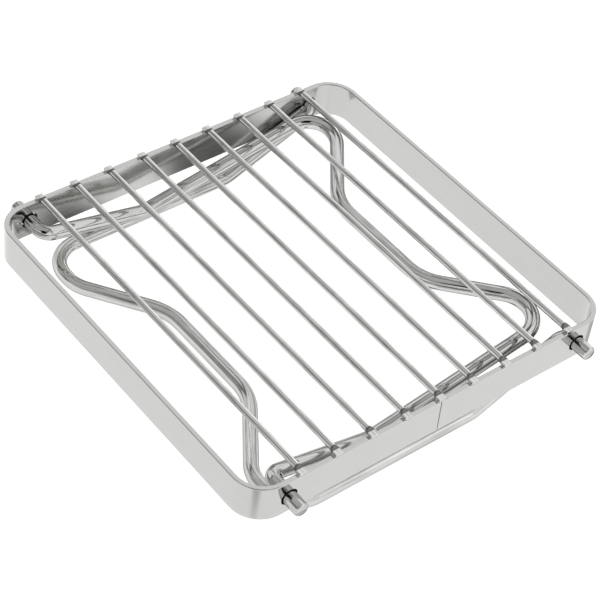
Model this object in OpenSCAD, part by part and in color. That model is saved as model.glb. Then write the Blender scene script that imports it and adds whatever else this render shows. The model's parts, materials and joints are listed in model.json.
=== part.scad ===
// Folding wire rack: a band frame of flat strip, nine cross wires welded on
// its top edges, and two bent-rod legs that turn in holes near its corners.
// The origin is under the middle of the frame, on the surface that the
// folded rack lies on. X runs from leg pivot to leg pivot, Y along the wires.

/* [Band frame] */
// Outer width, across the wires
frame_w = 160; // [152:1:200]
// Outer depth, along the wires
frame_d = 158; // [158:1:200]
// Height of the flat strip
strip_h = 15; // [13:0.5:18]
// Thickness of the flat strip
strip_t = 2; // [1.5:0.1:2.4]
// Outer radius of the four bent corners
corner_r = 12; // [8:0.5:12]
// Open butt joint where the two ends of the strip meet
joint_gap = 0.3; // [0.1:0.1:0.6]

/* [Cross wires] */
// Diameter of the wires
wire_d = 2.5; // [2:0.1:3]
// Distance from wire to wire
wire_pitch = 15; // [12:0.5:15]
// How deep the welding sinks each wire into the strip's edge
wire_sink = 0.4; // [0.2:0.1:0.6]
// Height that the welding electrode takes off the top of a wire end
flat_depth = 0.8; // [0.2:0.1:1]
// Length of that flat
flat_length = 2.4; // [2.1:0.1:4]

/* [Legs] */
// Diameter of the leg rods
rod_d = 5.5; // [5:0.1:5.8]
// Diameter of the pivot holes
hole_d = 6.5; // [6.1:0.1:6.6]
// Distance between the two pivot axes
pivot_span = 130; // [128:1:130]
// How far a rod end stands out of the frame
stub_out = 7; // [5:0.5:12]
// Distance from the lower leg's pivot axis to its foot bar
lower_reach = 125; // [119:0.5:125]
// The same on the upper leg, shorter so that the two bars pass each other
upper_reach = 123; // [118:0.5:123]
// Step between the pivot axis and the long part of the arm
leg_drop = 17; // [17:0.5:20]
// Distance from the pivot axis to the step's bend
step_reach = 42; // [36:1:46]
// How far the middle of the foot bar is set back towards the pivot
bar_setback = 21.5; // [15:0.5:26]
// Half the length of the set-back middle, to its bend points
middle_half = 24.5; // [20:0.5:25]
// Distance from the centre to the lower foot bar's outer bend points
lower_foot_half = 54; // [46:0.5:54]
// The same on the upper leg, whose arms are closer together
upper_foot_half = 52; // [46:0.5:52]
// Slope of the upper leg when folded, in degrees
upper_slope = 9.7; // [9:0.1:9.7]

/* [Rod bends] */
// Bend at the pivot, to the rod's centre line
pivot_bend_r = 4.25; // [4:0.25:4.5]
// Bend of the arm's step
step_bend_r = 12; // [8:1:20]
// Bend from the lower leg's arm to its foot bar
lower_elbow_r = 13; // [8:0.5:13]
// The same on the upper leg
upper_elbow_r = 10.5; // [8:0.5:10.5]
// Bends at the ends of the set-back middle
middle_bend_r = 22; // [8:1:22]
// Bends where the slopes beside the middle meet the foot
foot_bend_r = 14; // [8:0.5:14]
// How much thinner bending draws the rod
bend_thinning = 0.1; // [0.04:0.02:0.2]
// Chamfer on the rod ends
end_chamfer = 0.4; // [0.2:0.1:0.8]

/* [Hidden] */
$fn = 48;
wire_count = 9;
// Gap between the lower leg's arm and the strip
wall_clearance = 0.75;
// Gap between the two legs' arms
arm_clearance = 0.3;
// Length by which a cutter passes the surface that it cuts
overcut = 1;
// Length by which a straight stretch of rod runs on into its bends
run_on = 0.2;

pivot_x = pivot_span / 2;
pivot_z = leg_drop + rod_d / 2;
frame_bottom = pivot_z - strip_h / 2;
frame_top = pivot_z + strip_h / 2;
wire_z = frame_top + wire_d / 2 - wire_sink;
stub_end = frame_d / 2 + stub_out;
lower_arm_y = frame_d / 2 - strip_t - wall_clearance - rod_d / 2;
upper_arm_y = lower_arm_y - rod_d - arm_clearance;

function unit(v) = v / norm(v);
function wire_x(index) = (index - (wire_count + 1) / 2) * wire_pitch;

// Where a rod of this bend radius leaves the straight, measured from the bend point
function tangent_length(before, corner, after, radius) =
    radius * tan(acos(unit(corner - before) * unit(after - corner)) / 2);

// ---------------------------------------------------------------- bent rod

// A straight stretch of rod between two points
module rod_straight(from, to) {
    direction = to - from;
    translate(from)
        rotate([0, acos(direction.z / norm(direction)), atan2(direction.y, direction.x)])
            cylinder(d = rod_d, h = norm(direction));
}

// A round bend of rod that rounds one point of the route
module rod_bend(before, corner, after, radius) {
    way_in = unit(corner - before);
    way_out = unit(after - corner);
    turn = acos(way_in * way_out);
    inward = unit(way_out - way_in * (way_in * way_out));
    start = corner - way_in * radius * tan(turn / 2);
    centre = start + inward * radius;
    side = cross(-inward, way_in);
    multmatrix([
        [-inward.x, way_in.x, side.x, centre.x],
        [-inward.y, way_in.y, side.y, centre.y],
        [-inward.z, way_in.z, side.z, centre.z],
        [0, 0, 0, 1]
    ])
        rotate_extrude(angle = turn)
            translate([radius, 0])
                circle(d = rod_d - bend_thinning);
}

// A rod along a route of points, with one bend radius for each inner point
module bent_rod(points, radii) {
    last = len(points) - 1;
    cuts = [
        for (i = [0 : last])
            (i == 0 || i == last) ? 0
                : tangent_length(points[i - 1], points[i], points[i + 1], radii[i - 1]) - run_on
    ];
    for (i = [0 : last - 1]) {
        direction = unit(points[i + 1] - points[i]);
        rod_straight(points[i] + direction * cuts[i], points[i + 1] - direction * cuts[i + 1]);
    }
    for (i = [1 : last - 1])
        rod_bend(points[i - 1], points[i], points[i + 1], radii[i - 1]);
}

// ---------------------------------------------------------------- band frame

// Rounded rectangle outline
module rounded_outline(width, depth, radius) {
    square([width - 2 * radius, depth], center = true);
    square([width, depth - 2 * radius], center = true);
    for (x = [-1, 1], y = [-1, 1])
        translate([x * (width / 2 - radius), y * (depth / 2 - radius)])
            circle(r = radius);
}

// Four holes, two in the front wall and two in the back wall
module pivot_holes() {
    for (x = [-1, 1], y = [-1, 1])
        translate([x * pivot_x, y * (frame_d - strip_t) / 2, pivot_z])
            rotate([90, 0, 0])
                cylinder(d = hole_d, h = strip_t + 2 * overcut, center = true);
}

// Flat strip bent into a ring, with its open joint in the middle of the front wall
module frame_band() {
    color("gainsboro")
        difference() {
            translate([0, 0, frame_bottom])
                linear_extrude(strip_h)
                    difference() {
                        rounded_outline(frame_w, frame_d, corner_r);
                        rounded_outline(frame_w - 2 * strip_t, frame_d - 2 * strip_t, corner_r - strip_t);
                    }
            pivot_holes();
            for (index = [1 : wire_count])
                wire_rod(index, overcut);
            translate([0, (strip_t - frame_d) / 2, pivot_z])
                cube([joint_gap, strip_t + 2 * overcut, strip_h + 2 * overcut], center = true);
        }
}

// ---------------------------------------------------------------- cross wires

// Plain round wire from wall to wall, and past them by extra at each end
module wire_rod(index, extra = 0) {
    translate([wire_x(index), 0, wire_z])
        rotate([90, 0, 0])
            cylinder(d = wire_d, h = frame_d + 2 * extra, center = true);
}

// Cross wire with the flats that the welding electrode leaves on top of its ends
module cross_wire(index) {
    color("silver")
        difference() {
            wire_rod(index);
            for (y = [-1, 1])
                translate([wire_x(index), y * (frame_d + overcut - flat_length) / 2, wire_z + wire_d - flat_depth])
                    cube([2 * wire_d, flat_length + overcut, wire_d], center = true);
        }
}

// ---------------------------------------------------------------- legs

function reversed(list) = [for (i = [len(list) - 1 : -1 : 0]) list[i]];
function mirrored_y(points) = [for (p = points) [p.x, -p.y, p.z]];

// A leg is one bent rod: from the middle of its bar, round the foot and along
// the arm to the pivot hole, and the same on the other side. The pivot axis is
// the Y axis here, the arm runs along +X and its step goes down.
module bent_leg(reach, arm_y, foot_half, elbow_r) {
    rod_end = stub_end - end_chamfer;
    half_route = [
        [reach - bar_setback, middle_half, -leg_drop],
        [reach, foot_half, -leg_drop],
        [reach, arm_y, -leg_drop],
        [step_reach, arm_y, -leg_drop],
        [0, arm_y, 0],
        [0, rod_end, 0]
    ];
    half_radii = [middle_bend_r, foot_bend_r, elbow_r, step_bend_r, pivot_bend_r];
    bent_rod(
        concat(reversed(mirrored_y(half_route)), half_route),
        concat(reversed(half_radii), half_radii)
    );
    for (side = [-1, 1])
        translate([0, side * rod_end, 0])
            rotate([-90 * side, 0, 0])
                cylinder(d1 = rod_d, d2 = rod_d - 2 * end_chamfer, h = end_chamfer);
}

// Upper leg, which turns at the left and folds up under the wires
module left_leg() {
    color("darkgray")
        translate([-pivot_x, 0, pivot_z])
            rotate([0, -upper_slope, 0])
                bent_leg(upper_reach, upper_arm_y, upper_foot_half, upper_elbow_r);
}

// Lower leg, which turns at the right and folds flat below the upper leg
module right_leg() {
    color("darkgray")
        translate([pivot_x, 0, pivot_z])
            mirror([1, 0, 0])
                bent_leg(lower_reach, lower_arm_y, lower_foot_half, lower_elbow_r);
}

// ---------------------------------------------------------------- assembly

frame_band();
for (index = [1 : wire_count])
    cross_wire(index);
left_leg();
right_leg();
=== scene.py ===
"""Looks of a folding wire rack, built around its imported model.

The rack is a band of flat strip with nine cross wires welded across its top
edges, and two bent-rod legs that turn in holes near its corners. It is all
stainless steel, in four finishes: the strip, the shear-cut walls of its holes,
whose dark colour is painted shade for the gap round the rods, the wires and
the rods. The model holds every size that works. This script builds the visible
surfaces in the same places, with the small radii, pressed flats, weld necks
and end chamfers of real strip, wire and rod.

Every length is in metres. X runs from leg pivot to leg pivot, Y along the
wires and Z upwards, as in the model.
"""

from __future__ import annotations

import json
import logging
import math
from dataclasses import dataclass
from enum import Enum
from typing import Any, Sequence

import bpy
import numpy as np
from mathutils import Matrix, Vector

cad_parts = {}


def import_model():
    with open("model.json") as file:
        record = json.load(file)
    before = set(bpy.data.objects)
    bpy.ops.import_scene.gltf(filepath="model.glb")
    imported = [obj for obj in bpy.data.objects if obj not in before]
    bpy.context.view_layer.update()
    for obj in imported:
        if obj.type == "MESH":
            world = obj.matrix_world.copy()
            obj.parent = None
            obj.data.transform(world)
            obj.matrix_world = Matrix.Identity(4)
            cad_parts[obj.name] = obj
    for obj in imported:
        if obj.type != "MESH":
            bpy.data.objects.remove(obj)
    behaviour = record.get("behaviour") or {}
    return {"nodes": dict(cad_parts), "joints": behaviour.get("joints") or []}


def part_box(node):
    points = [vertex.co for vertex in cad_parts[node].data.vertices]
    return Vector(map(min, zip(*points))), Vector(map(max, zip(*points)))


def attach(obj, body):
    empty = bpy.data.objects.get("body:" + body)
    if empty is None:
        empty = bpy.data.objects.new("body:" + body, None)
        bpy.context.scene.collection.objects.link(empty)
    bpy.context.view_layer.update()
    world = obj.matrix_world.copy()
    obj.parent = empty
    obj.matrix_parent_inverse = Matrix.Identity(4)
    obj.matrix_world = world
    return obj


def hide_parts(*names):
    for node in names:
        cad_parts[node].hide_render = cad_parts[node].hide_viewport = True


FRAME: dict[str, Any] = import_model()

LOG = logging.getLogger("rack")
MM = 0.001
FULL_TURN = 2 * math.pi
QUARTER_TURN = math.pi / 2
UV_MAP = "along_and_across"

Array = np.ndarray


class Body(str, Enum):
    """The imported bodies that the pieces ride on."""

    FRAME = "rack_frame"
    UPPER_LEG = "upper_leg"
    LOWER_LEG = "lower_leg"


class Slot(str, Enum):
    """The record's material slots."""

    STRIP = "strip_steel"
    WIRE = "wire_steel"
    ROD = "rod_steel"


# ------------------------------------------------------------------ numbers


def linear(code: str) -> tuple[float, float, float, float]:
    """Turn an sRGB hex colour into the linear colour that Blender works in.

    Args:
        code: Six hex digits, with or without a leading hash.

    Returns:
        Linear red, green and blue, and an alpha of 1.
    """
    digits = code.lstrip("#")
    srgb = np.array([int(digits[i : i + 2], 16) / 255 for i in (0, 2, 4)])
    flat = np.where(srgb <= 0.04045, srgb / 12.92, ((srgb + 0.055) / 1.055) ** 2.4)
    return (float(flat[0]), float(flat[1]), float(flat[2]), 1.0)


def unit(vector: Array) -> Array:
    """Return the vector at length 1."""
    return vector / np.linalg.norm(vector)


def ease(start: float, end: float, value: Array) -> Array:
    """Rise smoothly from 0 at start to 1 at end, as the cubic 3t^2 - 2t^3.

    Args:
        start: Value where the rise begins.
        end: Value where it is complete; it may lie below start.
        value: Where to read it.

    Returns:
        The share of the rise at each value.
    """
    t = np.clip((value - start) / (end - start), 0, 1)
    return t * t * (3 - 2 * t)


def stations(length: float, spacing: float, support: float) -> Array:
    """Space points along a length, with one extra point close to each end.

    Args:
        length: The whole length.
        spacing: Longest gap between points.
        support: Distance of the extra points from the ends.

    Returns:
        Rising distances from 0 to length.
    """
    even = np.linspace(0, length, max(2, math.ceil(length / spacing)) + 1)
    if length < 4 * support:
        return even
    at_ends = (even <= 0) | (even >= length)
    well_inside = (even > 2 * support) & (even < length - 2 * support)
    return np.sort(np.concatenate([even[at_ends | well_inside], [support, length - support]]))


def round_turn(count: int) -> Array:
    """Return even angles round one turn, without the full turn."""
    return np.linspace(0, FULL_TURN, count, endpoint=False)


def round_lengths(count: int, radius: float) -> Array:
    """Return the distances round a circle at even angles, with the full turn."""
    return np.linspace(0, FULL_TURN, count + 1) * radius


# ------------------------------------------------------------------- meshes


@dataclass
class Skin:
    """A closed surface on a grid: rings of points, each ring closed on itself.

    Attributes:
        rings: Points, as rows x points x 3.
        along: Distance of each row along the piece.
        across: Distance round the ring at each of its points, and once more
            for the first point after a full turn.
    """

    rings: Array
    along: Array
    across: Array

    def _quads(self) -> tuple[Array, Array]:
        """Join each four neighbours on the grid.

        Returns:
            Point numbers, as faces x 4, and their places on the UV map.
        """
        rows, count = self.rings.shape[:2]
        row, column = np.meshgrid(np.arange(rows - 1), np.arange(count), indexing="ij")
        corners = [(row, column), (row, column + 1), (row + 1, column + 1), (row + 1, column)]
        quads = np.stack([i * count + j % count for i, j in corners], -1)
        quad_uv = np.stack([np.stack([self.along[i], self.across[j]], -1) for i, j in corners], -2)
        return quads.reshape(-1, 4), quad_uv.reshape(-1, 4, 2)

    def _fans(self, points: Array) -> tuple[Array, Array]:
        """Close each end with triangles round its pole.

        Args:
            points: All points, with the two poles last.

        Returns:
            Point numbers, as faces x 3, and their places on the UV map, which
            are X plus Y one way and Z the other.
        """
        rows, count = self.rings.shape[:2]
        turn = np.arange(count)
        after = (turn + 1) % count
        last = (rows - 1) * count
        pole = rows * count
        first_fan = np.stack([after, turn, np.full(count, pole)], -1)
        last_fan = np.stack([last + turn, last + after, np.full(count, pole + 1)], -1)
        fans = np.concatenate([first_fan, last_fan])
        corners = points[fans]
        return fans, np.stack([corners[..., 0] + corners[..., 1], corners[..., 2]], -1)

    def mesh(self, name: str) -> bpy.types.Mesh:
        """Join the grid into a mesh with outward faces and a UV map in metres.

        Four neighbours on the grid make a quad, and each end is a fan of
        triangles round its pole, the mean of its ring. If the signed volume,
        the sum of the tetrahedra from the origin to each triangle, is negative,
        every face is turned over.

        Args:
            name: Name of the mesh.

        Returns:
            The new mesh, smooth shaded.
        """
        poles = np.stack([self.rings[0].mean(0), self.rings[-1].mean(0)])
        points = np.concatenate([self.rings.reshape(-1, 3), poles])
        quads, quad_uv = self._quads()
        fans, fan_uv = self._fans(points)
        triangles = np.concatenate([quads[:, [0, 1, 2]], quads[:, [0, 2, 3]], fans])
        a, b, c = (points[triangles[:, i]] for i in range(3))
        if np.einsum("ij,ij->i", a, np.cross(b, c)).sum() < 0:
            quads, quad_uv = quads[:, ::-1], quad_uv[:, ::-1]
            fans, fan_uv = fans[:, ::-1], fan_uv[:, ::-1]
        mesh = bpy.data.meshes.new(name)
        mesh.from_pydata(points.tolist(), [], quads.tolist() + fans.tolist())
        layer = mesh.uv_layers.new(name=UV_MAP)
        flat = np.concatenate([quad_uv.reshape(-1, 2), fan_uv.reshape(-1, 2)])
        layer.data.foreach_set("uv", flat.astype(np.float32).ravel())
        mesh.polygons.foreach_set("use_smooth", np.ones(len(mesh.polygons), bool))
        mesh.update()
        return mesh


def add_piece(mesh: bpy.types.Mesh, material: bpy.types.Material) -> bpy.types.Object:
    """Put a mesh in the scene as an object at the origin, with its material.

    Args:
        mesh: The piece's mesh, which gives it its name.
        material: Its material.

    Returns:
        The new object.
    """
    piece = bpy.data.objects.new(mesh.name, mesh)
    bpy.context.scene.collection.objects.link(piece)
    mesh.materials.append(material)
    return piece


def bake_modifiers(piece: bpy.types.Object) -> None:
    """Replace a piece's mesh with what its modifiers make of it, and drop them.

    Args:
        piece: The piece.
    """
    graph = bpy.context.evaluated_depsgraph_get()
    graph.update()
    made = bpy.data.meshes.new_from_object(piece.evaluated_get(graph))
    piece.modifiers.clear()
    made.name = piece.name
    piece.data = made


def settle_normals(piece: bpy.types.Object) -> None:
    """Let the large flat faces set the shading beside their small rounded edges.

    Args:
        piece: The piece, which keeps the modifier.
    """
    modifier = piece.modifiers.new("flat_faces_lead", "WEIGHTED_NORMAL")
    modifier.mode = "FACE_AREA"
    modifier.weight = 100
    modifier.keep_sharp = True


def place(piece: bpy.types.Object, body: Body, node: str) -> None:
    """Make a piece ride on a body and stand for its node of the model.

    Args:
        piece: The piece.
        body: The body that it moves with.
        node: The node that it replaces.
    """
    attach(piece, body.value)
    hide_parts(node)
    LOG.info("%s rides on %s, %d faces", piece.name, body.value, len(piece.data.polygons))


# -------------------------------------------------------------------- paths


@dataclass
class Route:
    """A smooth line through space with a frame at each of its points.

    Attributes:
        points: Points along the line.
        tangents: Directions along the line.
        sides: Unit directions across the line, carried along without twist.
        lengths: Distance along the line.
    """

    points: Array
    tangents: Array
    sides: Array
    lengths: Array

    @property
    def ups(self) -> Array:
        """The directions square to both the tangents and the sides."""
        return np.cross(self.tangents, self.sides)

    def read(self, rows: Array, at: Array) -> Array:
        """Read rows of numbers that belong to the points at other distances.

        Args:
            rows: The numbers, one row for each point of the line.
            at: Distances along the line.

        Returns:
            One row for each distance, in straight steps between the points.
        """
        return np.stack([np.interp(at, self.lengths, column) for column in rows.T], -1)


def turned(vector: Array, axis: Array, angles: Array) -> Array:
    """Turn one vector about an axis by many angles, by Rodrigues' formula.

    v cos(a) + (axis x v) sin(a) + axis (axis . v) (1 - cos(a)).

    Args:
        vector: The vector, 3 numbers.
        axis: Unit axis, 3 numbers.
        angles: Angles in radians.

    Returns:
        One turned vector for each angle.
    """
    cosine, sine = np.cos(angles)[:, None], np.sin(angles)[:, None]
    return vector * cosine + np.cross(axis, vector) * sine + axis * (axis @ vector) * (1 - cosine)


def bent_route(
    corners: Array, radii: Sequence[float], side: Array, straight_step: float, turn_step: float
) -> Route:
    """Follow straight stretches joined by round bends.

    Each bend is an arc that touches both of its straight stretches, so it
    starts radius * tan(turn / 2) before the corner. The side direction is
    turned with the tangent about the bend's own axis, which adds no twist.

    Args:
        corners: The points where the straight stretches would meet.
        radii: Bend radius at each inner corner.
        side: First direction across the line.
        straight_step: Longest gap between points on a straight stretch.
        turn_step: Largest turn between points on a bend, in radians.

    Returns:
        The route, with no point twice.
    """
    fewest_steps = 4
    ways = [unit(b - a) for a, b in zip(corners[:-1], corners[1:])]
    turns = [math.acos(np.clip(a @ b, -1, 1)) for a, b in zip(ways[:-1], ways[1:])]
    cuts = [0.0, *(radius * math.tan(turn / 2) for radius, turn in zip(radii, turns)), 0.0]
    points, tangents, sides = [], [], []
    for index, way in enumerate(ways):
        start = corners[index] + way * cuts[index]
        length = np.linalg.norm(corners[index + 1] - corners[index]) - cuts[index] - cuts[index + 1]
        steps = np.linspace(0, length, max(1, math.ceil(length / straight_step)) + 1)
        points.append(start + way * steps[:, None])
        tangents.append(np.tile(way, (len(steps), 1)))
        sides.append(np.tile(side, (len(steps), 1)))
        if index == len(turns):
            break
        axis = unit(np.cross(way, ways[index + 1]))
        centre = points[-1][-1] + np.cross(axis, way) * radii[index]
        count = max(fewest_steps, math.ceil(turns[index] / turn_step))
        angles = np.linspace(0, turns[index], count + 1)[1:-1]
        points.append(centre + turned(points[-1][-1] - centre, axis, angles))
        tangents.append(turned(way, axis, angles))
        sides.append(turned(side, axis, angles))
        side = turned(side, axis, np.array([turns[index]]))[0]
    line = np.concatenate(points)
    gaps = np.linalg.norm(np.diff(line, axis=0), axis=1)
    lengths = np.concatenate([[0], np.cumsum(gaps)])
    return Route(line, np.concatenate(tangents), np.concatenate(sides), lengths)


# ---------------------------------------------------------------- materials


def add_node(
    tree: bpy.types.NodeTree, kind: str, links: dict[Any, Any] | None = None, **settings: Any
) -> Any:
    """Add one shader node with its settings, input values and links.

    Args:
        tree: The tree that gets the node.
        kind: Blender's name of the node type, without ShaderNode before it.
        links: Input name or number to a value, or to another node's output.
        settings: Properties of the node itself.

    Returns:
        The new node.
    """
    node = tree.nodes.new(f"ShaderNode{kind}")
    for name, value in settings.items():
        setattr(node, name, value)
    for name, value in (links or {}).items():
        if isinstance(value, bpy.types.NodeSocket):
            tree.links.new(value, node.inputs[name])
        else:
            node.inputs[name].default_value = value
    return node


# Grey-brown oxide that resistance welding leaves beside each weld.
HEAT_TINT = "#6e6c68"
HEAT_FADE = 0.35 * MM

# Where the soft patches and the streaks begin and end, in the noise behind
# them, and how much of the streaks is left where there is no patch.
PATCH_NOISE = (0.35, 0.7)
STREAK_NOISE = (0.42, 0.66)
STREAKS_OFF_PATCH = 0.4
# Fineness of the surface's slow waves, as a share of the patches' fineness.
WAVE_SCALE = 0.4


def colour_of(mix: bpy.types.Node) -> Any:
    """Return a Mix node's colour output."""
    return next(socket for socket in mix.outputs if socket.type == "RGBA")


@dataclass(frozen=True)
class SteelFinish:
    """Stainless steel with fine marks along its length.

    Attributes:
        name: Name of the material.
        colour: sRGB hex colour of the clean metal.
        stain: sRGB hex colour where handling and rolling left it duller; for the
        holes' walls, both colours are darkened as painted shade.
        roughness: Roughness of the brightest patches.
        roughness_rise: How much rougher the dullest patches are.
        line_spacing: Distance between the drawing or rolling lines.
        line_length: Length of one line.
        line_depth: Depth of the lines, as bump distance.
        cloud_size: Size of the soft patches in colour and gloss.
        waviness: Depth of the slow unevenness of the surface.
        edge_tint: sRGB hex colour that dims reflections near the outline.
        weld_zone: The stretch along the piece, from its middle, that welding
            left dark, or None.
    """

    name: str
    colour: str
    stain: str
    roughness: float
    roughness_rise: float
    line_spacing: float
    line_length: float
    line_depth: float
    cloud_size: float
    waviness: float
    edge_tint: str
    weld_zone: tuple[float, float] | None = None

    def material(self) -> bpy.types.Material:
        """Build the material.

        Returns:
            A metal whose roughness, colour and bump follow its UV map, so that
            the lines run along the strip, wire or rod round every bend.
        """
        material = bpy.data.materials.new(self.name)
        material.use_nodes = True
        tree = material.node_tree
        tree.nodes.clear()
        place_on = add_node(tree, "UVMap", uv_map=UV_MAP).outputs["UV"]
        per_metre = (1 / self.line_length, 1 / self.line_spacing, 1.0)
        stretched = add_node(tree, "Mapping", {"Vector": place_on, "Scale": per_metre}).outputs["Vector"]
        lines = add_node(
            tree, "TexNoise", {"Vector": stretched, "Scale": 1.0, "Detail": 3.0, "Roughness": 0.6}
        ).outputs["Fac"]
        where = add_node(tree, "TexCoord").outputs["Object"]
        dullness = self._dullness(tree, lines, where)
        dulled = add_node(
            tree,
            "MapRange",
            {"Value": dullness, "To Min": self.roughness, "To Max": self.roughness + self.roughness_rise},
        ).outputs["Result"]
        shades = {"Factor": dullness, "A": linear(self.colour), "B": linear(self.stain)}
        base = colour_of(add_node(tree, "Mix", shades, data_type="RGBA"))
        if self.weld_zone:
            base = self._heat_tint(tree, place_on, base)
        wave_scale = WAVE_SCALE / self.cloud_size
        waves = add_node(
            tree, "TexNoise", {"Vector": where, "Scale": wave_scale, "Detail": 1.0}
        ).outputs["Fac"]
        slow = add_node(
            tree, "Bump", {"Height": waves, "Strength": 1.0, "Distance": self.waviness}
        ).outputs["Normal"]
        fine = add_node(
            tree, "Bump", {"Height": lines, "Strength": 1.0, "Distance": self.line_depth, "Normal": slow}
        ).outputs["Normal"]
        shader = add_node(
            tree,
            "BsdfPrincipled",
            {"Metallic": 1.0, "Roughness": dulled, "Normal": fine, "Specular Tint": linear(self.edge_tint)},
        )
        tree.links.new(base, shader.inputs["Base Color"])
        add_node(tree, "OutputMaterial", {"Surface": shader.outputs["BSDF"]})
        return material

    def _dullness(self, tree: bpy.types.NodeTree, lines: Any, where: Any) -> Any:
        """Mix soft patches and streaks: the streaks are strongest in the patches.

        Args:
            tree: The material's node tree.
            lines: The noise that is drawn out along the piece.
            where: The Object coordinates.

        Returns:
            A share from 0, clean and bright, to 1, dullest.
        """
        clouds = add_node(
            tree,
            "TexNoise",
            {"Vector": where, "Scale": 1 / self.cloud_size, "Detail": 4.0, "Roughness": 0.55},
        ).outputs["Fac"]
        patches = add_node(
            tree,
            "MapRange",
            {"Value": clouds, "From Min": PATCH_NOISE[0], "From Max": PATCH_NOISE[1]},
            interpolation_type="SMOOTHSTEP",
        ).outputs["Result"]
        streaks = add_node(
            tree, "MapRange", {"Value": lines, "From Min": STREAK_NOISE[0], "From Max": STREAK_NOISE[1]}
        ).outputs["Result"]
        share = add_node(
            tree, "MapRange", {"Value": patches, "To Min": STREAKS_OFF_PATCH, "To Max": 1.0}
        ).outputs["Result"]
        return add_node(tree, "Math", {0: share, 1: streaks}, operation="MULTIPLY").outputs["Value"]

    def _heat_tint(self, tree: bpy.types.NodeTree, place_on: Any, base: Any) -> Any:
        """Darken the weld zone near both ends, with a short fade on both sides.

        Args:
            tree: The material's node tree.
            place_on: The UV map's output.
            base: The colour outside the zone.

        Returns:
            The colour with the zone darkened.
        """
        start, end = self.weld_zone
        along = add_node(tree, "SeparateXYZ", {"Vector": place_on}).outputs["X"]
        from_middle = add_node(tree, "Math", {0: along}, operation="ABSOLUTE").outputs["Value"]
        begun = add_node(
            tree, "MapRange", {"Value": from_middle, "From Min": start, "From Max": start + HEAT_FADE}
        ).outputs["Result"]
        left = add_node(
            tree, "MapRange", {"Value": from_middle, "From Min": end, "From Max": end - HEAT_FADE}
        ).outputs["Result"]
        share = add_node(tree, "Math", {0: begun, 1: left}, operation="MULTIPLY").outputs["Value"]
        shades = {"Factor": share, "A": base, "B": linear(HEAT_TINT)}
        return colour_of(add_node(tree, "Mix", shades, data_type="RGBA"))


# Cold-rolled strip, tumbled after bending: a pale, even sheen that mirrors the
# rods as soft dark patches and shows faint rolling lines along the band.
ROLLED_STRIP = SteelFinish(
    name="cold_rolled_stainless_strip",
    colour="#c6c6c4",
    stain="#c0c0be",
    roughness=0.13,
    roughness_rise=0.07,
    line_spacing=0.35 * MM,
    line_length=30 * MM,
    line_depth=0.0012 * MM,
    cloud_size=14 * MM,
    waviness=0.01 * MM,
    edge_tint="#ffffff",
)

# Sheared steel inside the punched holes, torn rough and never polished. Its dark
# colour is painted shade: it stands in for the shadow in the gap between the
# bright rod and the bright strip.
SHADED_SHEARED_EDGE = SteelFinish(
    name="sheared_edge_painted_shade",
    colour="#5a5a5a",
    stain="#2e2e2e",
    roughness=0.5,
    roughness_rise=0.2,
    line_spacing=0.2 * MM,
    line_length=1 * MM,
    line_depth=0.01 * MM,
    cloud_size=2 * MM,
    waviness=0.01 * MM,
    edge_tint="#808080",
)

# Drawn wire: the die leaves lines along the wire, so it shows a grey middle
# with a soft line of light along each side. Real die lines are about 0.05 mm
# apart and would not show, so they are drawn ten times as far apart.
DRAWN_WIRE = SteelFinish(
    name="drawn_stainless_wire",
    colour="#dcdcda",
    stain="#9a9a98",
    roughness=0.07,
    roughness_rise=0.12,
    line_spacing=0.5 * MM,
    line_length=30 * MM,
    line_depth=0.02 * MM,
    cloud_size=9 * MM,
    waviness=0.006 * MM,
    edge_tint="#c8c8c8",
    weld_zone=(75.1 * MM, 77.1 * MM),
)

# Drawn rod with a satin polish: it carries long grey and bright streaks that
# follow every bend. Its polishing lines are drawn coarse enough to show.
POLISHED_ROD = SteelFinish(
    name="satin_polished_stainless_rod",
    colour="#d2d2d0",
    stain="#9c9c9a",
    roughness=0.07,
    roughness_rise=0.12,
    line_spacing=0.8 * MM,
    line_length=34 * MM,
    line_depth=0.03 * MM,
    cloud_size=10 * MM,
    waviness=0.015 * MM,
    edge_tint="#b4b4b4",
)


# --------------------------------------------------------------- band frame

# Rounding of the strip's two cut ends: a quarter circle in three points, as
# distances from the end. The section is smaller by the same three, backwards.
CUT_ROUNDING = np.array([0.0, 0.035, 0.12]) * MM


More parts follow.
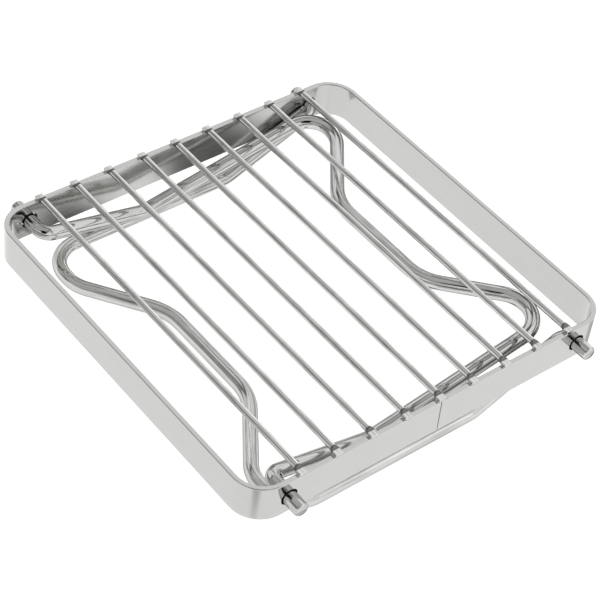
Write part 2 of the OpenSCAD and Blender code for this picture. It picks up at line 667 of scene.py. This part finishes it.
@dataclass
class BandFrame:
    """The flat strip bent into a ring, with its open joint in the front wall.

    Attributes:
        low: Lowest corner of the band.
        high: Highest corner of the band.
        pivots: X and Z of the two pivot axes.
        thickness: Thickness of the strip.
        corner_radius: Outer radius of the bent corners.
        edge_radius: Rounding of the strip's rolled edges.
        joint_gap: Width of the open joint.
        joint_lean: How far the joint's top stands to the left of its bottom.
        lean_reach: Distances from the joint where the lean is gone and whole.
        hole_diameter: Diameter of the pivot holes.
        hole_lip: Rounding of the holes' rims.
    """

    low: Vector
    high: Vector
    pivots: Sequence[tuple[float, float]]
    thickness: float = 2 * MM
    corner_radius: float = 12 * MM
    edge_radius: float = 0.38 * MM
    joint_gap: float = 0.3 * MM
    joint_lean: float = 0.5 * MM
    lean_reach: tuple[float, float] = (6 * MM, 1 * MM)
    hole_diameter: float = 6.5 * MM
    hole_lip: float = 0.15 * MM

    def _profile(self, inset: float) -> tuple[Array, Array]:
        """Trace the strip's section, a rectangle with rounded corners.

        Each corner is a quarter circle, and each side between two corners is
        straight, with one extra point close to each corner to keep it flat.

        Args:
            inset: How far the section has shrunk, at the strip's cut ends.

        Returns:
            Points as outward and upward distances from the section's centre,
            and the distance round the section with the first point again.
        """
        spacing, support = 3 * MM, 0.08 * MM
        half = np.array([self.thickness, self.high.z - self.low.z]) / 2 - inset
        radius = self.edge_radius - inset
        angles = np.linspace(0, QUARTER_TURN, 7)
        parts = []
        for quarter, signs in enumerate([(1, 1), (-1, 1), (-1, -1), (1, -1)]):
            turn = angles + quarter * QUARTER_TURN
            centre = (half - radius) * signs
            arc = centre + radius * np.stack([np.cos(turn), np.sin(turn)], -1)
            onward = np.array([-np.sin(turn[-1]), np.cos(turn[-1])])
            side = 2 * (half - radius)[quarter % 2]
            steps = stations(side, spacing, support)[1:-1]
            parts += [arc, arc[-1] + onward * steps[:, None]]
        section = np.concatenate(parts)
        gaps = np.linalg.norm(np.diff(section, axis=0, append=section[:1]), axis=1)
        return section, np.concatenate([[0], np.cumsum(gaps)])

    def _ring(self) -> Route:
        """Walk the strip's middle line from one side of the joint to the other.

        Returns:
            The route, whose sides point outwards.
        """
        straight_step, turn_step = 4 * MM, math.radians(3)
        x, y = self.high.x - self.thickness / 2, self.high.y - self.thickness / 2
        gap = self.joint_gap / 2
        corners = np.array([[gap, -y, 0], [x, -y, 0], [x, y, 0], [-x, y, 0], [-x, -y, 0], [-gap, -y, 0]])
        radius = self.corner_radius - self.thickness / 2
        outward = np.array([0.0, -1.0, 0.0])
        return bent_route(corners, [radius] * 4, outward, straight_step, turn_step)

    def _skin(self) -> Skin:
        """Carry the section round the ring, shrinking it at the two cut ends.

        A point is the route's point, plus its side times the outward distance,
        plus Z times the upward one. Near the joint it is also moved along X in
        proportion to its height, which makes the joint lean.

        Returns:
            The band before its holes are cut.
        """
        route = self._ring()
        section, across = self._profile(0)
        small, _ = self._profile(CUT_ROUNDING[-1])
        middle = (self.high.z + self.low.z) / 2
        ends = len(CUT_ROUNDING)
        length = route.lengths[-1]
        lengths = np.concatenate([CUT_ROUNDING, route.lengths[1:-1], length - CUT_ROUNDING[::-1]])
        points, sides = route.read(route.points, lengths), route.read(route.sides, lengths)
        share = np.zeros(len(lengths))
        share[:ends] = CUT_ROUNDING[::-1] / CUT_ROUNDING[-1]
        share[-ends:] = CUT_ROUNDING / CUT_ROUNDING[-1]
        sections = section + (small - section) * share[:, None, None]
        upward = np.array([0, 0, 1.0])
        rings = points[:, None, :] + sides[:, None, :] * sections[..., :1] + upward * sections[..., 1:]
        rings[..., 2] += middle
        height = (rings[..., 2] - middle) / (self.high.z - self.low.z)
        near_joint = ease(*self.lean_reach, np.minimum(lengths, length - lengths))
        rings[..., 0] -= self.joint_lean * height * near_joint[:, None]
        return Skin(rings, lengths, across)

    def _hole_cutter(self) -> bpy.types.Object:
        """Build one cutter for all holes: round bars that flare at the wall's faces.

        The bar's radius is the hole's, and within one lip of either face it
        grows as a quarter circle, so that the rim is left rounded.

        Returns:
            The four bars as one object.
        """
        overcut = 0.001 * MM
        wall = self.high.y - self.thickness / 2
        half, lip = self.thickness / 2, self.hole_lip
        angles = np.linspace(0, QUARTER_TURN, 6)
        flare = np.stack([half - lip * (1 - np.sin(angles)), lip * (1 - np.cos(angles))], -1)
        one_side = np.concatenate([flare, [[half + lip, lip + overcut]]])
        outline = np.concatenate([one_side[::-1] * [-1, 1], one_side])
        turn = round_turn(64)
        across = round_lengths(len(turn), self.hole_diameter / 2)
        radius = self.hole_diameter / 2 + outline[:, 1:]
        bars = []
        for x, z in self.pivots:
            for side in (-1, 1):
                y = side * wall + np.repeat(outline[:, :1], len(turn), 1)
                rings = np.stack([x + radius * np.cos(turn), y, z + radius * np.sin(turn)], -1)
                mesh = Skin(rings, outline[:, 0], across).mesh("hole_cutter")
                bar = bpy.data.objects.new("hole_cutter", mesh)
                bpy.context.scene.collection.objects.link(bar)
                bars.append(bar)
        with bpy.context.temp_override(
            active_object=bars[0], selected_objects=bars, selected_editable_objects=bars
        ):
            bpy.ops.object.join()
        return bars[0]

    def build(self, material: bpy.types.Material, hole_shade_material: bpy.types.Material) -> None:
        """Build the band and let it stand for its node.

        Args:
            material: Finish of the strip.
            hole_shade_material: Finish inside the punched holes, whose dark colour is
            painted shade in the gap round the rods.
        """
        piece = add_piece(self._skin().mesh("band"), material)
        cutter = self._hole_cutter()
        # The holes' walls get the darkened finish: painted shade for the gap round the rods.
        cutter.data.materials.append(hole_shade_material)
        cut = piece.modifiers.new("pivot_holes", "BOOLEAN")
        cut.operation = "DIFFERENCE"
        cut.solver = "EXACT"
        cut.material_mode = "TRANSFER"
        cut.object = cutter
        bake_modifiers(piece)
        bpy.data.objects.remove(cutter)
        settle_normals(piece)
        place(piece, Body.FRAME, "frame_band")


# -------------------------------------------------------------- cross wires


@dataclass
class CrossWire:
    """One wire, pressed flat and welded where it crosses the walls.

    Attributes:
        node: The wire's node in the model.
        low: Lowest corner of the wire.
        high: Highest corner of the wire.
        frame_top: Height of the strip's top edge.
        wall: Thickness of the strip.
        flat_depth: How far the electrode pressed the top down.
        flat_length: Length of the pressed flat.
        ramp: Length over which the top falls to the flat.
        bulge: How far the pressed metal moved out to each side.
        neck: How far the weld spreads on the strip on each side.
        proud: How far the wire's end stands out of the wall.
        end_rounding: Rounding of the wire's ends.
        softness: Rounding between the flat and the wire's sides.
        neck_height: How far the neck reaches above the strip's edge.
        neck_start: Half width of the neck's top, as a share of the radius.
        weld_fade: Distances past the wall's inside where the neck is gone and
            before it where it is whole.
        end_fade: Distance from the wire's end where the neck is whole.
    """

    node: str
    low: Vector
    high: Vector
    frame_top: float
    wall: float = 2 * MM
    flat_depth: float = 0.8 * MM
    flat_length: float = 2.4 * MM
    ramp: float = 1.5 * MM
    bulge: float = 0.4 * MM
    neck: float = 0.45 * MM
    proud: float = 0.04 * MM
    end_rounding: float = 0.16 * MM
    softness: float = 0.06 * MM
    neck_height: float = 0.5 * MM
    neck_start: float = 0.92
    weld_fade: tuple[float, float] = (0.35 * MM, 0.2 * MM)
    end_fade: float = 0.5 * MM

    def _skin(self) -> Skin:
        """Shape the wire as a function of the distance along it and the turn.

        The plain wire is a circle. Over the flat its top is held below a level
        that eases down from the circle's top, and its sides move out by the
        bulge. Over the wall, points near the strip's top edge move out to a
        concave neck, whose half width grows with the square of the depth below
        the neck's top. The last rings shrink as a quarter circle, which rounds
        the ends.

        Returns:
            The wire from end to end.
        """
        radius = (self.high.x - self.low.x) / 2
        centre_x = (self.high.x + self.low.x) / 2
        centre_z = self.low.z + radius
        end = self.high.y + self.proud
        edge = self.end_rounding
        arc = np.linspace(0, QUARTER_TURN, 5)
        rounding = end - edge * (1 - np.sin(arc))
        press = end - np.linspace(self.flat_length + self.ramp + 1 * MM, edge, 40)[:-1]
        body = np.linspace(0, press[0], 22)[:-1]
        half = np.concatenate([body, press, rounding])
        along = np.concatenate([-half[:0:-1], half])
        shrink = np.concatenate([np.zeros(len(body) + len(press)), edge * (1 - np.cos(arc))])
        shrink = np.concatenate([shrink[:0:-1], shrink])[:, None]
        turn = round_turn(48)
        from_end = (end - np.abs(along))[:, None]
        pressed = ease(self.flat_length + self.ramp, self.flat_length, from_end)
        x = (radius - shrink) * np.sin(turn) * (1 + self.bulge / radius * pressed)
        z = (radius - shrink) * np.cos(turn)
        level = radius - self.flat_depth * pressed - shrink
        z = z - self.softness * np.logaddexp(0, (z - level) / self.softness) * pressed
        neck_top = self.frame_top - centre_z + self.neck_height
        depth = np.clip((neck_top - z) / self.neck_height, 0, 1)
        spread = radius * self.neck_start + (self.neck + radius * (1 - self.neck_start)) * depth**2
        gone, whole = self.wall + self.weld_fade[0], self.wall - self.weld_fade[1]
        on_wall = ease(gone, whole, from_end) * ease(0, self.end_fade, from_end)
        # The points straight above and below the middle stay in place.
        on_wall = on_wall * (np.abs(np.sin(turn)) > 0.05)
        reach = np.maximum(np.abs(x), spread * (depth > 0))
        x = np.sign(x) * (np.abs(x) + (reach - np.abs(x)) * on_wall)
        y = np.repeat(along[:, None], len(turn), 1)
        rings = np.stack([centre_x + x, y, centre_z + z], -1)
        return Skin(rings, along, round_lengths(len(turn), radius))

    def build(self, material: bpy.types.Material) -> None:
        """Build the wire and let it stand for its node.

        Args:
            material: Finish of the wire.
        """
        piece = add_piece(self._skin().mesh(f"cross_{self.node}"), material)
        place(piece, Body.FRAME, self.node)


# --------------------------------------------------------------------- legs


@dataclass(frozen=True)
class PunchMark:
    """A narrow groove along a rod near its end, with a low lip on both sides.

    Attributes:
        depth: Depth of the groove.
        angle: Its place round the rod, in radians.
        width: Half width of the groove, in radians.
        lip_angle: Distance of each lip from the groove's middle, in radians.
        lip_width: Half width of a lip, in radians.
        lip_height: Height of a lip, as a share of the depth.
        begun: Distances from the rod's end where it starts and is whole.
        ended: Distances from the rod's end where it is gone and still whole.
    """

    depth: float = 0.28 * MM
    angle: float = math.radians(40)
    width: float = 0.1
    lip_angle: float = 0.26
    lip_width: float = 0.12
    lip_height: float = 0.4
    begun: tuple[float, float] = (0.5 * MM, 1.2 * MM)
    ended: tuple[float, float] = (3.4 * MM, 2.2 * MM)

    def depths(self, turn: Array, from_end: Array) -> Array:
        """Work out the mark's depth: one bell curve round the rod, less two lips.

        Args:
            turn: Angles round the rod.
            from_end: Distances from the nearer end of the rod.

        Returns:
            Depths, one row for each distance.
        """
        angle = (turn - self.angle + math.pi) % FULL_TURN - math.pi
        groove = np.exp(-((angle / self.width) ** 2))
        lips = np.exp(-(((np.abs(angle) - self.lip_angle) / self.lip_width) ** 2))
        share = ease(*self.begun, from_end) * ease(*self.ended, from_end)
        return self.depth * (groove - self.lip_height * lips) * share[:, None]


@dataclass
class Leg:
    """One leg: a single rod bent from pivot hole to pivot hole.

    Attributes:
        name: Name of the piece.
        node: The leg's node in the model.
        body: The body it rides on.
        pivot: The middle of its pivot axis.
        direction: 1 if the arms run towards +X from the pivot, -1 if to -X.
        reach: Distance from the pivot axis to the foot bar.
        arm_y: Distance of the long arms from the middle.
        foot_half: Distance of the foot bar's outer bend points from the centre.
        elbow: Bend radius between the arm and the foot bar.
        slope: Upward slope of the leg when folded, in degrees.
        end_y: Distance of the rod's ends from the middle.
        rod: Diameter of the rod.
        drop: Step between the pivot axis and the long part of the arm.
        step_reach: Distance from the pivot axis to the step's bend.
        setback: How far the middle of the foot bar is set back.
        middle_half: Half the length of the set-back middle.
        middle_bend: Bend radius at the ends of the set-back middle.
        foot_bend: Bend radius where the slopes beside the middle meet the foot.
        step_bend: Bend radius of the arm's step.
        pivot_bend: Bend radius at the pivot.
        chamfer: Chamfer on the rod's ends.
        mark: The punch mark near each end.
    """

    name: str
    node: str
    body: Body
    pivot: Sequence[float]
    direction: int
    reach: float
    arm_y: float
    foot_half: float
    elbow: float
    slope: float
    end_y: float
    rod: float = 5.5 * MM
    drop: float = 17 * MM
    step_reach: float = 42 * MM
    setback: float = 21.5 * MM
    middle_half: float = 24.5 * MM
    middle_bend: float = 22 * MM
    foot_bend: float = 14 * MM
    step_bend: float = 12 * MM
    pivot_bend: float = 4.25 * MM
    chamfer: float = 0.45 * MM
    mark: PunchMark = PunchMark()

    def _route(self) -> Route:
        """Lay the rod's middle line, from the front end to the back end.

        The half route runs from the set-back middle to the end in the pivot
        hole; the whole is that half mirrored in Y, then itself. It is then
        turned up by the slope about the pivot axis, and moved to the pivot.

        Returns:
            The route, whose sides point up at its start.
        """
        straight_step, turn_step = 4 * MM, math.radians(4)
        half = np.array(
            [
                [self.reach - self.setback, self.middle_half, -self.drop],
                [self.reach, self.foot_half, -self.drop],
                [self.reach, self.arm_y, -self.drop],
                [self.step_reach, self.arm_y, -self.drop],
                [0, self.arm_y, 0],
                [0, self.end_y, 0],
            ]
        )
        x, y, z = np.concatenate([half[::-1] * [1, -1, 1], half]).T
        cosine, sine = math.cos(math.radians(self.slope)), math.sin(math.radians(self.slope))
        raised = np.stack([self.direction * (x * cosine - z * sine), y, x * sine + z * cosine], -1)
        raised += np.array(self.pivot)
        half_radii = [self.middle_bend, self.foot_bend, self.elbow, self.step_bend, self.pivot_bend]
        radii = [*half_radii[::-1], *half_radii]
        return bent_route(raised, radii, np.array([0.0, 0, 1]), straight_step, turn_step)

    def _skin(self) -> Skin:
        """Carry a circle along the route, with chamfered ends and punch marks.

        A point is the route's point plus the radius times the cosine of the
        turn along the side, and times its sine along the other direction. The
        radius falls by the chamfer over the last chamfer of length, with a
        small rounding on both sides of it, and by the punch mark's depth.

        Returns:
            The rod from end to end.
        """
        edge, blend = 0.06 * MM, 0.12 * MM
        route = self._route()
        total = route.lengths[-1]
        on_chamfer = np.linspace(self.chamfer, self.chamfer + 0.2 * MM, 4)
        at_mark = np.linspace(0.9, 6.5, 24) * MM
        ends = np.concatenate([[0, edge], on_chamfer, at_mark])
        inner = route.lengths[(route.lengths > ends[-1]) & (route.lengths < total - ends[-1])]
        lengths = np.concatenate([ends, inner, total - ends[::-1]])
        from_end = np.minimum(lengths, total - lengths)
        # The share of the chamfer that is gone at four distances from the end.
        fall = np.interp(from_end, [0, edge, self.chamfer, self.chamfer + blend], [1.12, 0.9, 0.08, 0])
        turn = round_turn(56)
        radius = (self.rod / 2 - self.chamfer * fall)[:, None] - self.mark.depths(turn, from_end)
        radius = np.minimum(radius, self.rod / 2)[..., None]
        middle, side, up = (
            route.read(rows, lengths)[:, None, :] for rows in (route.points, route.sides, route.ups)
        )
        rings = middle + radius * (np.cos(turn)[:, None] * side + np.sin(turn)[:, None] * up)
        return Skin(rings, lengths, round_lengths(len(turn), self.rod / 2))

    def build(self, material: bpy.types.Material) -> None:
        """Build the leg and let it stand for its node.

        Args:
            material: Finish of the rod.
        """
        piece = add_piece(self._skin().mesh(self.name), material)
        settle_normals(piece)
        place(piece, self.body, self.node)


# ------------------------------------------------------------------- studio


@dataclass(frozen=True)
class Shade:
    """A dark or bright patch in the studio round the rack.

    Attributes:
        towards: Direction of its middle from the rack.
        radius: Its angular radius in degrees.
        softness: Width of its soft edge in degrees.
        light: The brightness in its middle.
    """

    towards: tuple[float, float, float]
    radius: float
    softness: float
    light: float


@dataclass(frozen=True)
class FloorShadow:
    """A soft shadow on the floor, which only the polished steel mirrors.

    Attributes:
        at: X and Y of its middle.
        radius: Radius of its even middle.
        softness: Width of its soft edge.
        light: The share of the floor's light that is left in its middle.
    """

    at: tuple[float, float]
    radius: float
    softness: float
    light: float


@dataclass
class Studio:
    """A white studio: pale floor, white walls, a grey ceiling and soft lamps.

    Attributes:
        floor_z: Height of the floor, just under the feet when the legs are open.
        shades: Patches in the surroundings, which the polished steel mirrors.
        shadows: Soft shadows on the floor, for reflections only.
        camera_at: Place of the camera.
        look_at: The point in the middle of its view.
        roll: How far the camera is turned about its line of sight, in degrees.
        lens_mm: Its focal length, on a 36 mm sensor.
        floor_half: Half the width of the floor.
        paper_colour: sRGB hex colour of the floor's paper.
        paper_roughness: Its roughness.
        paper_glow: Its own light, which stands for lamps all round.
    """

    floor_z: float
    shades: Sequence[Shade] = (
        Shade((-0.3, 0.1, 0.95), 41, 3, 0.1),  # dark rim of the ceiling
        Shade((-0.3, 0.1, 0.95), 35, 3, 0.56),  # grey ceiling
        Shade((0.02, 0.53, 0.85), 3.5, 3, 0.95),  # small lamp in it
        Shade((-0.5, -0.53, 0.69), 18, 3, 0.0),  # black cloth, upper front left
        Shade((0.5, 0.87, 0.1), 12, 8, 0.2),  # dark, low at the back right
        Shade((-0.7, 0.56, 0.44), 12, 10, 0.3),  # dark, at the back left
        Shade((0.6, -0.72, 0.36), 9, 6, 1.4),  # lamp, at the front right
        Shade((0.86, 0.5, 0.08), 8, 6, 2.4),  # lamp, low at the right
    )
    shadows: Sequence[FloorShadow] = (
        FloorShadow((-0.171, -0.165), 0.02, 0.025, 0.5),
        FloorShadow((0.02, -0.02), 0.01, 0.02, 0.0),
        FloorShadow((0.108, -0.02), 0.024, 0.018, 0.08),
        FloorShadow((0.205, -0.07), 0.03, 0.03, 0.5),
    )
    camera_at: tuple[float, float, float] = (-0.3569, -0.3792, 0.5164)
    look_at: tuple[float, float, float] = (-0.0062, -0.0091, 0.02)
    roll: float = -7.96
    lens_mm: float = 119.4
    floor_half: float = 6.0
    paper_colour: str = "#e6e6e6"
    paper_roughness: float = 0.9
    paper_glow: float = 0.55

    def _surroundings(self) -> None:
        """Paint the world by direction: white, with each shade mixed over it.

        Seen directly, the world is plain white, so the shades show only in
        the steel.
        """
        world = bpy.data.worlds.new("studio")
        bpy.context.scene.world = world
        world.use_nodes = True
        tree = world.node_tree
        tree.nodes.clear()
        direction = add_node(tree, "TexCoord").outputs["Generated"]
        light: Any = 1.0
        for shade in self.shades:
            towards = tuple(unit(np.array(shade.towards)))
            inner = math.cos(math.radians(shade.radius))
            outer = math.cos(math.radians(shade.radius + shade.softness))
            nearness = add_node(
                tree, "VectorMath", {0: direction, 1: towards}, operation="DOT_PRODUCT"
            ).outputs["Value"]
            share = add_node(
                tree,
                "MapRange",
                {"Value": nearness, "From Min": outer, "From Max": inner},
                interpolation_type="SMOOTHSTEP",
            ).outputs["Result"]
            light = add_node(tree, "Mix", {"Factor": share, "A": light, "B": shade.light}).outputs["Result"]
        seen = add_node(tree, "LightPath").outputs["Is Camera Ray"]
        strength = add_node(tree, "Mix", {"Factor": seen, "A": light, "B": 1.0}).outputs["Result"]
        background = add_node(
            tree, "Background", {"Color": linear("#ffffff"), "Strength": strength}
        ).outputs["Background"]
        add_node(tree, "OutputWorld", {"Surface": background})

    def _floor(self) -> None:
        """Lay a large pale floor, which is seen only from above."""
        mesh = bpy.data.meshes.new("floor")
        signs = ((-1, -1), (1, -1), (1, 1), (-1, 1))
        corners = [(x * self.floor_half, y * self.floor_half, self.floor_z) for x, y in signs]
        mesh.from_pydata(corners, [], [(0, 1, 2, 3)])
        # Matt white paper: an even, pale ground without gloss.
        material = bpy.data.materials.new("matt_white_paper")
        material.use_nodes = True
        tree = material.node_tree
        tree.nodes.clear()
        paper = add_node(
            tree,
            "BsdfPrincipled",
            {
                "Base Color": linear(self.paper_colour),
                "Roughness": self.paper_roughness,
                "Emission Color": linear("#ffffff"),
                "Emission Strength": self.paper_glow,
            },
        ).outputs["BSDF"]
        where = add_node(tree, "TexCoord").outputs["Object"]
        mirrored = add_node(tree, "LightPath").outputs["Is Glossy Ray"]
        dark = add_node(tree, "Emission", {"Strength": 0.0}).outputs["Emission"]
        for shadow in self.shadows:
            middle = (*shadow.at, self.floor_z)
            away = add_node(tree, "VectorMath", {0: where, 1: middle}, operation="DISTANCE").outputs["Value"]
            share = add_node(
                tree,
                "MapRange",
                {
                    "Value": away,
                    "From Min": shadow.radius,
                    "From Max": shadow.radius + shadow.softness,
                    "To Min": 1 - shadow.light,
                    "To Max": 0.0,
                },
                interpolation_type="SMOOTHSTEP",
            ).outputs["Result"]
            dimmed = add_node(tree, "Math", {0: share, 1: mirrored}, operation="MULTIPLY").outputs["Value"]
            paper = add_node(tree, "MixShader", {0: dimmed, 1: paper, 2: dark}).outputs["Shader"]
        clear = add_node(tree, "BsdfTransparent").outputs["BSDF"]
        underside = add_node(tree, "NewGeometry").outputs["Backfacing"]
        both = add_node(tree, "MixShader", {0: underside, 1: paper, 2: clear}).outputs["Shader"]
        add_node(tree, "OutputMaterial", {"Surface": both})
        add_piece(mesh, material)

    def _camera(self) -> None:
        """Set the camera, with its up direction turned by the roll."""
        data = bpy.data.cameras.new("camera")
        data.lens = self.lens_mm
        data.sensor_width = 36
        data.clip_start = 0.01
        data.clip_end = 20
        camera = bpy.data.objects.new("camera", data)
        bpy.context.scene.collection.objects.link(camera)
        at, target = Vector(self.camera_at), Vector(self.look_at)
        forward = (target - at).normalized()
        right = forward.cross(Vector((0, 0, 1))).normalized()
        level_up = right.cross(forward)
        angle = math.radians(self.roll)
        up = level_up * math.cos(angle) + right * math.sin(angle)
        across = forward.cross(up)
        turn = Matrix((across, up, -forward)).transposed()
        camera.matrix_world = Matrix.Translation(at) @ turn.to_4x4()
        bpy.context.scene.camera = camera

    def build(self) -> None:
        """Build the surroundings, the floor and the camera."""
        self._surroundings()
        self._floor()
        self._camera()
        bpy.context.scene.view_settings.view_transform = "Standard"
        LOG.info("studio is ready, floor at %.4f m", self.floor_z)


# --------------------------------------------------------------------- main


def main() -> None:
    logging.basicConfig(level=logging.INFO, format="%(name)s: %(message)s")
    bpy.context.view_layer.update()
    pivots = {joint["child"]: joint["pos_m"] for joint in FRAME["joints"]}
    band_low, band_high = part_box("frame_band")
    rod_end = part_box("right_leg")[1].y
    axes = [(pivots[body.value][0], pivots[body.value][2]) for body in (Body.LOWER_LEG, Body.UPPER_LEG)]
    # The holes' finish carries painted shade: its dark colours stand in for the shadow in the gap round the
    # rods.
    strip, sheared_shaded, wire, rod = (
        finish.material() for finish in (ROLLED_STRIP, SHADED_SHEARED_EDGE, DRAWN_WIRE, POLISHED_ROD)
    )

    BandFrame(band_low, band_high, axes).build(strip, sheared_shaded)
    for node in sorted(name for name in FRAME["nodes"] if name.startswith("wire_")):
        CrossWire(node, *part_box(node), frame_top=band_high.z).build(wire)
    Leg(
        "lower_leg_rod",
        "right_leg",
        Body.LOWER_LEG,
        pivots[Body.LOWER_LEG.value],
        direction=-1,
        reach=125 * MM,
        arm_y=73.5 * MM,
        foot_half=54 * MM,
        elbow=13 * MM,
        slope=0.0,
        end_y=rod_end,
    ).build(rod)
    Leg(
        "upper_leg_rod",
        "left_leg",
        Body.UPPER_LEG,
        pivots[Body.UPPER_LEG.value],
        direction=1,
        reach=123 * MM,
        arm_y=67.7 * MM,
        foot_half=52 * MM,
        elbow=10.5 * MM,
        slope=9.7,
        end_y=rod_end,
    ).build(rod)

    Studio(floor_z=-0.1015).build()


if __name__ == "__main__":
    main()
